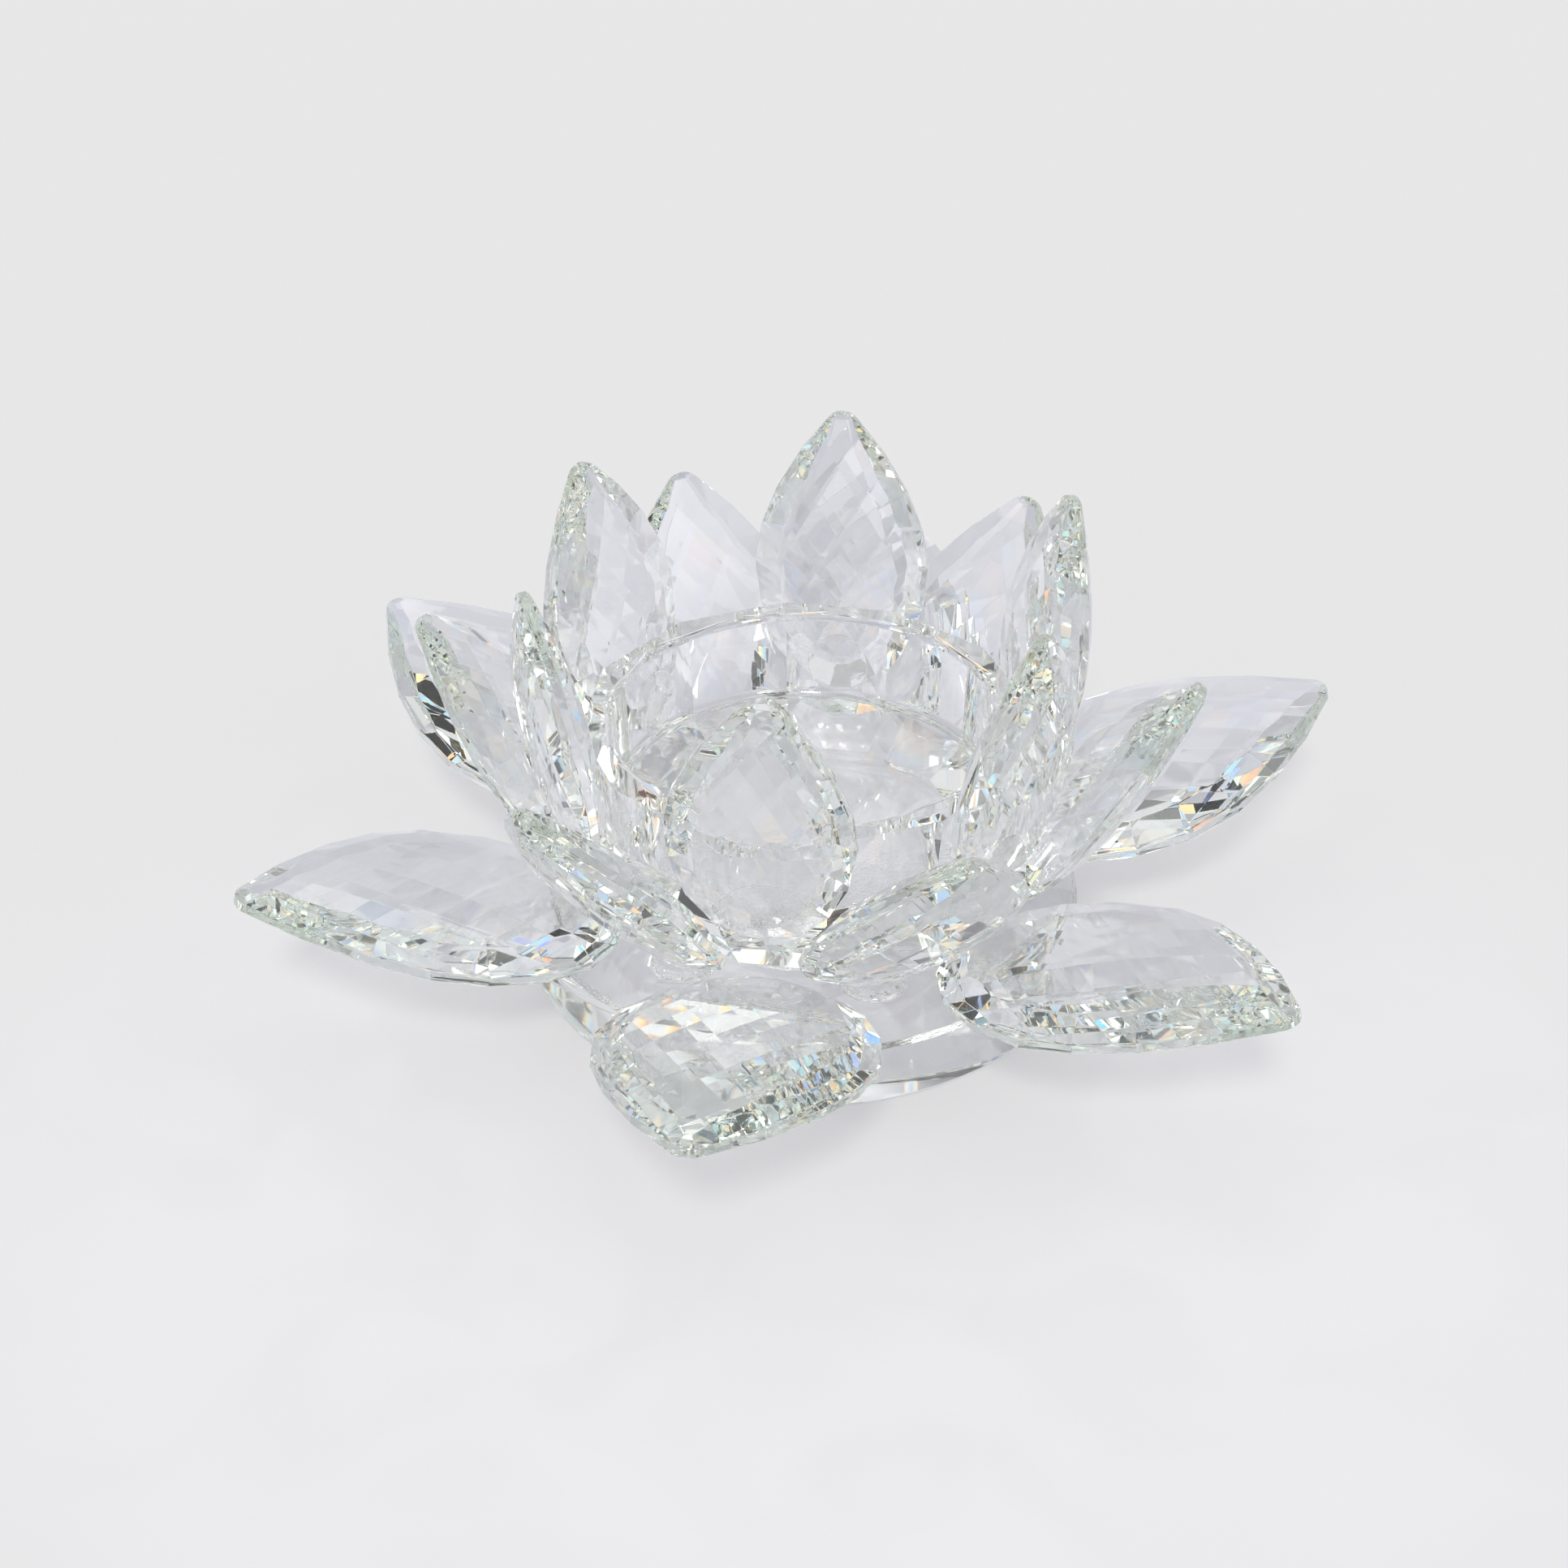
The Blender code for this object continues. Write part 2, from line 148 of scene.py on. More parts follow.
def addSeparate(tree, colour):
    node = addNode(tree, "ShaderNodeSeparateColor")
    tree.links.new(colour, node.inputs["Color"])
    return node.outputs["Red"]


def addBlend(tree, first, second):
    node = addNode(tree, "ShaderNodeMix", data_type="RGBA", blend_type="MULTIPLY")
    node.inputs["Factor"].default_value = 1.0
    tree.links.new(first, node.inputs["A"])
    tree.links.new(second, node.inputs["B"])
    return node.outputs["Result"]


def newGroup(name, inputs, outputs):
    tree = bpy.data.node_groups.new(name, "ShaderNodeTree")
    for title, kind, value in inputs:
        socket = tree.interface.new_socket(name=title, in_out="INPUT", socket_type=kind)
        if value is not None:
            socket.default_value = value
    for title, kind in outputs:
        tree.interface.new_socket(name=title, in_out="OUTPUT", socket_type=kind)
    return tree, addNode(tree, "NodeGroupInput"), addNode(tree, "NodeGroupOutput")


# shared surface effects

def makePolishGroup():  # hand-polished glass: a slow waviness and faint scratches
    tree, start, end = newGroup("polished glass", [
        ("Place", "NodeSocketVector", None),
        ("Wave Scale", "NodeSocketFloat", 140.0),
        ("Scratch Height", "NodeSocketFloat", 0.04),
    ], [("Height", "NodeSocketFloat")])
    wave = addNode(tree, "ShaderNodeTexNoise", {"Detail": 0.0})
    tree.links.new(start.outputs["Place"], wave.inputs["Vector"])
    tree.links.new(start.outputs["Wave Scale"], wave.inputs["Scale"])
    stretch = addNode(tree, "ShaderNodeMapping", {"Rotation": (0.3, 0.2, 0.9), "Scale": (260.0, 9000.0, 9000.0)})
    tree.links.new(start.outputs["Place"], stretch.inputs["Vector"])
    scratch = addNode(tree, "ShaderNodeTexNoise", {"Scale": 1.0, "Detail": 0.0})
    tree.links.new(stretch.outputs["Vector"], scratch.inputs["Vector"])
    fine = addRamp(tree, scratch.outputs["Fac"], [(0.0, 0.0), (0.70, 0.0), (0.78, 1.0), (1.0, 1.0)])
    raised = addMath(tree, "MULTIPLY", fine, start.outputs["Scratch Height"])
    tree.links.new(addMath(tree, "ADD", wave.outputs["Fac"], raised), end.inputs["Height"])
    return tree


def makeGrindingGroup():  # fine-ground glass: short grinding lines and a frosted grain
    tree, start, end = newGroup("ground glass", [
        ("Place", "NodeSocketVector", None),
        ("Line Stretch", "NodeSocketVector", (700.0, 700.0, 9000.0)),
        ("Least Roughness", "NodeSocketFloat", 0.12),
        ("Most Roughness", "NodeSocketFloat", 0.42),
    ], [("Height", "NodeSocketFloat"), ("Roughness", "NodeSocketFloat")])
    stretch = addNode(tree, "ShaderNodeVectorMath", operation="MULTIPLY")
    tree.links.new(start.outputs["Place"], stretch.inputs[0])
    tree.links.new(start.outputs["Line Stretch"], stretch.inputs[1])
    lines = addNode(tree, "ShaderNodeTexNoise", {"Scale": 1.0, "Detail": 1.0})
    tree.links.new(stretch.outputs["Vector"], lines.inputs["Vector"])
    tree.links.new(lines.outputs["Fac"], end.inputs["Height"])
    spread = addNode(tree, "ShaderNodeMapRange", {"From Min": 0.35, "From Max": 0.65})
    tree.links.new(lines.outputs["Fac"], spread.inputs["Value"])
    tree.links.new(start.outputs["Least Roughness"], spread.inputs["To Min"])
    tree.links.new(start.outputs["Most Roughness"], spread.inputs["To Max"])
    tree.links.new(spread.outputs["Result"], end.inputs["Roughness"])
    return tree


polishGroup = makePolishGroup()
grindingGroup = makeGrindingGroup()


# glass finishes

petalGlassLook = {
    "colour": (0.985, 0.985, 0.99, 1.0),
    "ior": 1.52,
    "tint": (0.82, 0.895, 0.80, 1.0),  # the green-grey of a long way through the glass
    "density": 11.0,
    "waveScale": 120.0,
    "waveHeight": 0.0000025,
    "scratchHeight": 0.05,
    "lineStretch": (160.0, 160.0, 3500.0),
    "grindHeight": 0.000004,
    "grindRoughness": (0.0, 0.10),
    "place": "leafPlace",
}
rimGrinding = {"lineStretch": (700.0, 700.0, 9000.0), "grindHeight": 0.00002, "grindRoughness": (0.12, 0.42), "place": None}
cupGlassLook = dict(petalGlassLook, waveScale=170.0, waveHeight=0.000004, density=3.0, **rimGrinding)
discGlassLook = dict(petalGlassLook, waveScale=60.0, waveHeight=0.000002, density=3.0, **rimGrinding)


def makeGlass(name, look):
    material = bpy.data.materials.new(name)
    material.use_nodes = True
    tree = material.node_tree
    shader = tree.nodes["Principled BSDF"]
    for socket, value in {"Base Color": look["colour"], "IOR": look["ior"], "Transmission Weight": 1.0}.items():
        shader.inputs[socket].default_value = value
    if look["place"]:
        place = addNode(tree, "ShaderNodeAttribute", attribute_name=look["place"]).outputs["Vector"]
    else:
        place = addNode(tree, "ShaderNodeTexCoord").outputs["Object"]
    ground = addNode(tree, "ShaderNodeAttribute", attribute_name="groundEdge").outputs["Fac"]

    polish = addNode(tree, "ShaderNodeGroup", node_tree=polishGroup)
    polish.inputs["Wave Scale"].default_value = look["waveScale"]
    polish.inputs["Scratch Height"].default_value = look["scratchHeight"]
    grinding = addNode(tree, "ShaderNodeGroup", node_tree=grindingGroup)
    grinding.inputs["Line Stretch"].default_value = look["lineStretch"]
    grinding.inputs["Least Roughness"].default_value, grinding.inputs["Most Roughness"].default_value = look["grindRoughness"]
    tree.links.new(place, polish.inputs["Place"])
    tree.links.new(place, grinding.inputs["Place"])

    tree.links.new(addMath(tree, "MULTIPLY", grinding.outputs["Roughness"], ground), shader.inputs["Roughness"])
    polishBump = addNode(tree, "ShaderNodeBump", {"Strength": 1.0, "Distance": look["waveHeight"]})
    tree.links.new(polish.outputs["Height"], polishBump.inputs["Height"])
    grindBump = addNode(tree, "ShaderNodeBump", {"Distance": look["grindHeight"]})
    tree.links.new(ground, grindBump.inputs["Strength"])
    tree.links.new(grinding.outputs["Height"], grindBump.inputs["Height"])
    tree.links.new(polishBump.outputs["Normal"], grindBump.inputs["Normal"])
    tree.links.new(grindBump.outputs["Normal"], shader.inputs["Normal"])

    absorb = addNode(tree, "ShaderNodeVolumeAbsorption", {"Color": look["tint"], "Density": look["density"]})
    tree.links.new(absorb.outputs["Volume"], tree.nodes["Material Output"].inputs["Volume"])
    return material


petalGlass = makeGlass("cut petal glass", petalGlassLook)
cupGlass = makeGlass("pressed cup glass", cupGlassLook)
discGlass = makeGlass("polished disc glass", discGlassLook)

adhesiveLook = {"colour": (0.985, 0.985, 0.98, 1.0), "ior": 1.48, "roughness": 0.03, "wrinkleScale": 900.0, "wrinkleHeight": 0.00006}


def makeAdhesive(name, look):
    material = bpy.data.materials.new(name)
    material.use_nodes = True
    tree = material.node_tree
    shader = tree.nodes["Principled BSDF"]
    for socket, value in {"Base Color": look["colour"], "IOR": look["ior"], "Transmission Weight": 1.0}.items():
        shader.inputs[socket].default_value = value
    place = addNode(tree, "ShaderNodeTexCoord").outputs["Object"]
    wrinkles = addNode(tree, "ShaderNodeTexNoise", {"Scale": look["wrinkleScale"], "Detail": 2.0, "Distortion": 0.6})
    tree.links.new(place, wrinkles.inputs["Vector"])
    cloud = addNode(tree, "ShaderNodeMapRange", {"To Min": 0.0, "To Max": look["roughness"] * 2})
    tree.links.new(wrinkles.outputs["Fac"], cloud.inputs["Value"])
    tree.links.new(cloud.outputs["Result"], shader.inputs["Roughness"])
    bump = addNode(tree, "ShaderNodeBump", {"Strength": 1.0, "Distance": look["wrinkleHeight"]})
    tree.links.new(wrinkles.outputs["Fac"], bump.inputs["Height"])
    tree.links.new(bump.outputs["Normal"], shader.inputs["Normal"])
    return material


adhesive = makeAdhesive("cured adhesive", adhesiveLook)
print("finishes made")


# petals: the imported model's cut glass, with the ground girdle told apart from the polished facets

petalLook = {"tiers": ("upper", "middle", "lower"), "perTier": 6, "girdleTilt": 0.2, "tipReach": 0.0012, "tipRound": 0.0009, "facetEdge": 0.00006}


def petalAxes(mesh):
    points = np.array([vertex.co for vertex in mesh.vertices])
    middle = points.mean(axis=0)
    thick, across, along = np.linalg.eigh(np.cov((points - middle).T))[1].T
    if along @ (middle * (1, 1, 0) + (0, 0, 0.03)) < 0:
        along = -along
    across = np.cross(thick, along)
    base = middle + along * ((points - middle) @ along).min()
    return points, base, along, across, thick


def makePetal(node):
    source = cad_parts[node]
    petal = bpy.data.objects.new(node, source.data.copy())
    scene.collection.objects.link(petal)
    editAll(petal)
    bpy.ops.mesh.remove_doubles(threshold=0.000002)
    bpy.ops.mesh.dissolve_limited(angle_limit=math.radians(0.3))
    bpy.ops.mesh.normals_make_consistent(inside=False)
    backToObject()
    points, base, along, across, thick = petalAxes(petal.data)
    thickness, length = Vector(thick), Vector(along)
    tip = max(length.dot(Vector(point)) for point in points) - petalLook["tipReach"]
    pickEdges(petal, lambda a, b: min(a.dot(length), b.dot(length)) > tip and abs((a - b).normalized().dot(thickness)) > 0.8)
    bpy.ops.mesh.bevel(offset=petalLook["tipRound"], segments=4)
    editAll(petal)
    bpy.ops.mesh.bevel(offset=petalLook["facetEdge"], segments=1, clamp_overlap=True)
    backToObject()
    points = np.array([vertex.co for vertex in petal.data.vertices])
    place = petal.data.attributes.new("leafPlace", "FLOAT_VECTOR", "POINT")
    place.data.foreach_set("vector", ((points - base) @ np.stack([along, across, thick]).T).ravel())
    markFaces(petal, "groundEdge", lambda face: float(abs(face.normal.dot(thickness)) < petalLook["girdleTilt"]))
    petal.data.shade_flat()
    return finishPiece(petal, node + "_cut", node, petalGlass)


for tier in petalLook["tiers"]:
    for count in range(petalLook["perTier"]):
        makePetal(f"{tier}_petal_{count + 1}")
print("petals made")


# disc

discLook = {"radius": 0.0330, "topRadius": 0.0324, "height": 0.0074, "sides": 240, "topBevel": 0.0005, "footBevel": 0.0003}


def makeDisc():
    look = discLook
    height = look["height"]
    bpy.ops.object.select_all(action="DESELECT")
    bpy.ops.mesh.primitive_cylinder_add(
        vertices=look["sides"], radius=look["radius"], depth=height, location=(0, 0, height / 2)
    )
    disc = bpy.context.object
    bpy.ops.object.transform_apply(location=True, rotation=True, scale=True)
    pickFaces(disc, lambda face: face.normal.z > 0.9)
    shrink = look["topRadius"] / look["radius"]
    bpy.ops.transform.resize(value=(shrink, shrink, 1), center_override=(0, 0, height))
    pickEdges(disc, lambda a, b: a.z > height - 0.0001 and b.z > height - 0.0001)
    bpy.ops.mesh.bevel(offset=look["topBevel"], segments=1)
    pickEdges(disc, lambda a, b: a.z < 0.0001 and b.z < 0.0001)
    bpy.ops.mesh.bevel(offset=look["footBevel"], segments=2)
    backToObject()
    bpy.ops.object.shade_smooth_by_angle(angle=math.radians(12))
    markFaces(disc, "groundEdge", lambda face: 1.0 if 0.2 < face.normal.z < 0.95 else 0.0)
    return finishPiece(disc, "base_disc_polished", "base_disc", discGlass)


makeDisc()


# cup: a 12-sided cut outside, a hand-ground flat rim and a round recess with a melted lip

cupLook = {
    "sides": 12,
    "turn": 5.0,
    "footRadius": 0.0187,
    "waistRadius": 0.0245,
    "rimRadius": 0.0262,
    "footHeight": 0.0084,
    "waistHeight": 0.0175,
    "rimHeight": 0.0311,
    "topHeight": 0.0313,
    "recessRadius": 0.0225,
    "recessDepth": 0.0112,
    "recessFillet": 0.0012,
    "recessSides": 192,
    "lip": 0.0007,
    "rimGrinding": 0.10,
}


def makeCup():
    look = cupLook
    bpy.ops.object.select_all(action="DESELECT")
    bpy.ops.mesh.primitive_circle_add(
        vertices=look["sides"], radius=look["footRadius"], fill_type="NGON",
        location=(0, 0, look["footHeight"]), rotation=(0, 0, math.radians(look["turn"])),
    )
    cup = bpy.context.object
    bpy.ops.object.transform_apply(location=True, rotation=True, scale=True)
    levels = [
        (look["footRadius"], look["footHeight"]),
        (look["waistRadius"], look["waistHeight"]),
        (look["rimRadius"], look["rimHeight"]),
        (look["recessRadius"], look["topHeight"]),
    ]
    editAll(cup)
    for (radius, height), (nextRadius, nextHeight) in zip(levels, levels[1:]):
        bpy.ops.mesh.extrude_region_move(TRANSFORM_OT_translate={"value": (0, 0, nextHeight - height)})
        grow = nextRadius / radius
        bpy.ops.transform.resize(value=(grow, grow, 1), center_override=(0, 0, nextHeight))
    bpy.ops.mesh.select_all(action="SELECT")
    bpy.ops.mesh.normals_make_consistent(inside=False)
    backToObject()

    floor = look["topHeight"] - look["recessDepth"]
    depth = 2 * look["recessDepth"]
    bpy.ops.object.select_all(action="DESELECT")
    bpy.ops.mesh.primitive_cylinder_add(
        vertices=look["recessSides"], radius=look["recessRadius"], depth=depth, location=(0, 0, floor + depth / 2)
    )
    recess = bpy.context.object
    bpy.ops.object.transform_apply(location=True, rotation=True, scale=True)
    pickEdges(recess, lambda a, b: a.z < floor + 0.0001 and b.z < floor + 0.0001)
    bpy.ops.mesh.bevel(offset=look["recessFillet"], segments=20)
    backToObject()

    hollow = cup.modifiers.new("recess", "BOOLEAN")
    hollow.operation = "DIFFERENCE"
    hollow.object = recess
    applyModifier(cup, hollow)
    bpy.data.objects.remove(recess, do_unlink=True)
    inner = look["recessRadius"] + 0.0001
    rimLevel = look["rimHeight"] - 0.0001
    pickEdges(cup, lambda a, b: min(a.z, b.z) > rimLevel and max(a.xy.length, b.xy.length) < inner)
    bpy.ops.mesh.bevel(offset=look["lip"], segments=5)
    backToObject()
    only(cup)
    bpy.ops.object.shade_smooth_by_angle(angle=math.radians(9))
    markFaces(cup, "groundEdge", lambda face: look["rimGrinding"] if face.normal.z > 0.95 and face.center.z > rimLevel else 0.0)
    return finishPiece(cup, "candle_cup_cut", "candle_cup", cupGlass)


makeCup()
print("disc and cup made")


# adhesive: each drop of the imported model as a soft, uneven blob

dropLook = {"sides": 48, "unevenness": 0.07, "edgeShare": 0.45}


def makeDrop(node, spread=1.0, skirt=0.0):
    points = np.array([vertex.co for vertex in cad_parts[node].data.vertices])
    points = np.unique(points.round(6), axis=0)
    centre = Vector(points.mean(axis=0))
    axis = Vector(np.linalg.eigh(np.cov((points - points.mean(axis=0)).T))[1][:, 0])
    if axis.z < 0:
        axis = -axis
    along = [(Vector(point) - centre).dot(axis) for point in points]
    thickness = max(along) - min(along)
    radius = max(((Vector(point) - centre) - axis * reach).length for point, reach in zip(points, along))
    turn = axis.to_track_quat("Z", "Y")
    bpy.ops.object.select_all(action="DESELECT")
    bpy.ops.mesh.primitive_cylinder_add(vertices=dropLook["sides"], radius=radius * spread, depth=thickness)
    drop = bpy.context.object
    pickEdges(drop, lambda a, b: abs(a.z - b.z) < thickness / 10)
    bpy.ops.mesh.bevel(offset=thickness * dropLook["edgeShare"], segments=3)
    backToObject()
    seed = centre * 400
    for vertex in drop.data.vertices:
        outward = Vector((vertex.co.x, vertex.co.y, 0))
        if outward.length > 0.0001:
            wave = noise.noise(outward.normalized() * 1.6 + seed)
            low = 0.5 - vertex.co.z / thickness
            vertex.co += outward * (wave * dropLook["unevenness"] + skirt * low)
    drop.data.transform(Matrix.Translation(centre) @ turn.to_matrix().to_4x4())
    drop.data.shade_smooth()
    return finishPiece(drop, node + "_drop", node, adhesive)


makeDrop("foot_glue")
for count in range(petalLook["perTier"]):
    makeDrop(f"upper_glue_{count + 1}")
    makeDrop(f"middle_glue_{count + 1}", skirt=0.25)
    makeDrop(f"lower_glue_{count + 1}")
print("adhesive made")


# floor: pale and matt. It keeps the shadow. Glass sees it with painted light and shade in place of the light and shade
# that cut facets throw around them, as far as the front edge of the paper, and the camera sees painted light patches
# around the object

floorLook = {
    "size": 6.0,
    "height": -0.0002,
    "seenByCamera": (0.79, 0.79, 0.79, 1.0),
    # painted shade and painted light: the dim and bright patches that glass sees on the floor, in place of shadow and
    # caustics
    "paintedShadeInGlass": (0.65, 0.65, 0.695, 1.0),
    "paintedLightInGlass": (0.88, 0.88, 0.92, 1.0),
    "seenBeyond": (0.06, 0.06, 0.07, 1.0),
    "paintedPatchScale": 100.0,
    "paperEdge": (-0.21, -0.17),
    "liftForCamera": 0.52,
    "liftColour": (0.785, 0.785, 0.81, 1.0),
    "seenByLamp": (0.81, 0.81, 0.765, 1.0),
    # painted light: the floor the camera sees is brighter in soft patches within this reach of the object
    "paintedLightPlace": (0.0, -0.045, 0.0),
    "paintedLightFrom": 0.13,
    "paintedLightTo": 0.05,
    "paintedLightColour": (1.10, 1.10, 1.12, 1.0),
    "paintedLightPatches": (0.985, 1.025),
    # painted light: the floor seen through glass is brighter under the glass, and painted shade makes it darker
    # towards +X
    "paintedLightUnderPlace": (-0.005, 0.004, 0.0),
    "paintedLightUnderGlass": (0.034, 0.010, 1.32),
    "paintedShadeSide": (0.025, 0.065, 0.93),
    "liftForGlass": 0.60,
}


# painted caustic light and shade: soft cells that stand for the light and shadow the facets throw on the floor
def makePaintedThrownLightGroup():
    tree, start, end = newGroup("painted thrown light", [
        ("Place", "NodeSocketVector", None),
        ("Scale", "NodeSocketFloat", 75.0),
    ], [("Amount", "NodeSocketFloat")])
    patches = addNode(tree, "ShaderNodeTexVoronoi", {"Smoothness": 0.12}, voronoi_dimensions="2D", feature="SMOOTH_F1")
    tree.links.new(start.outputs["Place"], patches.inputs["Vector"])
    tree.links.new(start.outputs["Scale"], patches.inputs["Scale"])
    tones = addNode(tree, "ShaderNodeSeparateColor")
    tree.links.new(patches.outputs["Color"], tones.inputs["Color"])
    tree.links.new(tones.outputs["Red"], end.inputs["Amount"])
    return tree


def addMix(tree, factor, first, second):
    node = addNode(tree, "ShaderNodeMix", data_type="RGBA")
    tree.links.new(factor, node.inputs["Factor"])
    for socket, value in ((node.inputs["A"], first), (node.inputs["B"], second)):
        if isinstance(value, tuple):
            socket.default_value = value
        else:
            tree.links.new(value, socket)
    return node.outputs["Result"]


def makeFloor():
    look = floorLook
    bpy.ops.object.select_all(action="DESELECT")
    bpy.ops.mesh.primitive_plane_add(size=look["size"], location=(0, 0, look["height"]))
    floor = bpy.context.object
    floor.name = "studio_floor"
    material = bpy.data.materials.new("pale studio floor")
    material.use_nodes = True
    tree = material.node_tree
    shader = tree.nodes["Principled BSDF"]
    shader.inputs["Roughness"].default_value = 0.9
    shader.inputs["Specular IOR Level"].default_value = 0.0
    place = addNode(tree, "ShaderNodeTexCoord").outputs["Object"]
    thrown = addNode(tree, "ShaderNodeGroup", node_tree=makePaintedThrownLightGroup())
    thrown.inputs["Scale"].default_value = look["paintedPatchScale"]
    tree.links.new(place, thrown.inputs["Place"])
    split = addNode(tree, "ShaderNodeSeparateXYZ")
    tree.links.new(place, split.inputs["Vector"])
    beyond, within = look["paperEdge"]
    paper = addNode(tree, "ShaderNodeMapRange", {"From Min": beyond, "From Max": within})
    tree.links.new(split.outputs["Y"], paper.inputs["Value"])

    path = addNode(tree, "ShaderNodeLightPath")
    byCamera = path.outputs["Is Camera Ray"]
    byGlass = addMath(tree, "MAXIMUM", path.outputs["Is Glossy Ray"], path.outputs["Is Transmission Ray"])
    byGlass = addMath(tree, "MULTIPLY", byGlass, addMath(tree, "LESS_THAN", path.outputs["Diffuse Depth"], 0.5))
    # painted shade and painted light patches on the floor that glass sees
    inGlass = addMix(tree, thrown.outputs["Amount"], look["paintedShadeInGlass"], look["paintedLightInGlass"])
    inGlass = addMix(tree, paper.outputs["Result"], look["seenBeyond"], inGlass)
    nearness = addNode(tree, "ShaderNodeVectorMath", operation="DISTANCE")
    nearness.inputs[1].default_value = look["paintedLightUnderPlace"]
    tree.links.new(place, nearness.inputs[0])
    # painted light under the glass and painted shade on its +X side
    far, near, paintedLightGain = look["paintedLightUnderGlass"]
    paintedLightUnder = addNode(tree, "ShaderNodeMapRange", {"From Min": far, "From Max": near, "To Min": 1.0, "To Max": paintedLightGain}, interpolation_type="SMOOTHSTEP")
    tree.links.new(nearness.outputs["Value"], paintedLightUnder.inputs["Value"])
    lit, shaded, loss = look["paintedShadeSide"]
    paintedSideShade = addNode(tree, "ShaderNodeMapRange", {"From Min": lit, "From Max": shaded, "To Min": 1.0, "To Max": loss})
    tree.links.new(split.outputs["X"], paintedSideShade.inputs["Value"])
    scaled = addNode(tree, "ShaderNodeVectorMath", operation="SCALE")
    tree.links.new(inGlass, scaled.inputs[0])
    tree.links.new(addMath(tree, "MULTIPLY", paintedLightUnder.outputs["Result"], paintedSideShade.outputs["Result"]), scaled.inputs["Scale"])
    inGlass = scaled.outputs["Vector"]
    # painted light patches around the object, on the floor that the camera sees
    reach = addNode(tree, "ShaderNodeVectorMath", operation="DISTANCE")
    reach.inputs[1].default_value = look["paintedLightPlace"]
    tree.links.new(place, reach.inputs[0])
    paintedLightMask = addNode(tree, "ShaderNodeMapRange", {"From Min": look["paintedLightFrom"], "From Max": look["paintedLightTo"]}, interpolation_type="SMOOTHSTEP")
    tree.links.new(reach.outputs["Value"], paintedLightMask.inputs["Value"])
    soft = addNode(tree, "ShaderNodeTexNoise", {"Scale": 42.0, "Detail": 1.0, "Distortion": 1.0})
    tree.links.new(place, soft.inputs["Vector"])
    uneven = addNode(tree, "ShaderNodeMapRange", {"From Min": 0.40, "From Max": 0.62, "To Min": look["paintedLightPatches"][0], "To Max": look["paintedLightPatches"][1]})
    tree.links.new(soft.outputs["Fac"], uneven.inputs["Value"])
    paintedLightColour = addNode(tree, "ShaderNodeVectorMath", operation="SCALE")
    paintedLightColour.inputs[0].default_value = look["paintedLightColour"][:3]
    tree.links.new(uneven.outputs["Result"], paintedLightColour.inputs["Scale"])
    paintedLightGain = addMix(tree, paintedLightMask.outputs["Result"], (1.0, 1.0, 1.0, 1.0), paintedLightColour.outputs["Vector"])
    lifted = addNode(tree, "ShaderNodeMix", {"Factor": 1.0}, data_type="RGBA", blend_type="MULTIPLY")
    lifted.inputs["A"].default_value = look["liftColour"]
    tree.links.new(paintedLightGain, lifted.inputs["B"])
    tree.links.new(addMix(tree, byGlass, look["seenByLamp"], inGlass), shader.inputs["Base Color"])
    liftForCamera = addMath(tree, "MULTIPLY", byCamera, look["liftForCamera"])
    lift = addMath(tree, "MAXIMUM", liftForCamera, addMath(tree, "MULTIPLY", byGlass, look["liftForGlass"]))
    glow = addNode(tree, "ShaderNodeEmission")
    tree.links.new(addMix(tree, byGlass, lifted.outputs["Result"], inGlass), glow.inputs["Color"])
    mixed = addNode(tree, "ShaderNodeMixShader")
    tree.links.new(lift, mixed.inputs["Fac"])
    tree.links.new(shader.outputs["BSDF"], mixed.inputs[1])
    tree.links.new(glow.outputs["Emission"], mixed.inputs[2])
    tree.links.new(mixed.outputs["Shader"], tree.nodes["Material Output"].inputs["Surface"])
    floor.data.materials.append(material)


makeFloor()


# lights: a soft lamp above the camera, an even dome, and the room that the glass shows

studioLook = {
    "backdrop": (0.80, 0.80, 0.80, 1.0),
    "domeLow": (0.60, 0.60, 0.68, 1.0),
    "domeHigh": (0.74, 0.74, 0.80, 1.0),
    "lampDirection": (-0.05, -0.66, 0.75),
    "lampSpread": 10.0,
    "lampStrength": 1.35,
    "lampColour": (1.0, 0.985, 0.93),
    "cellScale": 4.4,
    "cellShift": (0.04, 0.0, 0.03),
    "cellStops": [(0.0, 0.07), (0.58, 0.32), (0.70, 0.80), (0.83, 1.6)],
    "fringe": 0.08,
    "fringeStops": [(0.0, (0.50, 0.58, 1.15, 1.0)), (0.35, (0.65, 1.05, 1.15, 1.0)), (0.65, (1.45, 1.2, 0.65, 1.0)), (1.0, (1.2, 0.65, 0.45, 1.0))],
    "paper": (0.82, 0.82, 0.845, 1.0),
    "paperStops": [(0.0, 0.66), (0.2, 0.92), (0.5, 1.03), (0.85, 1.18)],
    "paperSide": (0.60, 0.66),
    "haze": (0.02, 0.22, 0.42),
    # azimuth and elevation, half width and half height in degrees, and brightness
    "panels": [
        (-90.0, 60.0, 26.0, 9.0, 1.7),
        (112.0, 34.0, 6.0, 6.0, 1.7),
        (66.0, 44.0, 5.0, 5.0, 1.25),
        (88.0, 40.0, 7.0, 4.0, 1.20),
        (-90.0, 3.0, 8.0, 4.0, 1.9),
        (90.0, 64.0, 34.0, 7.0, 0.05),
    ],
}


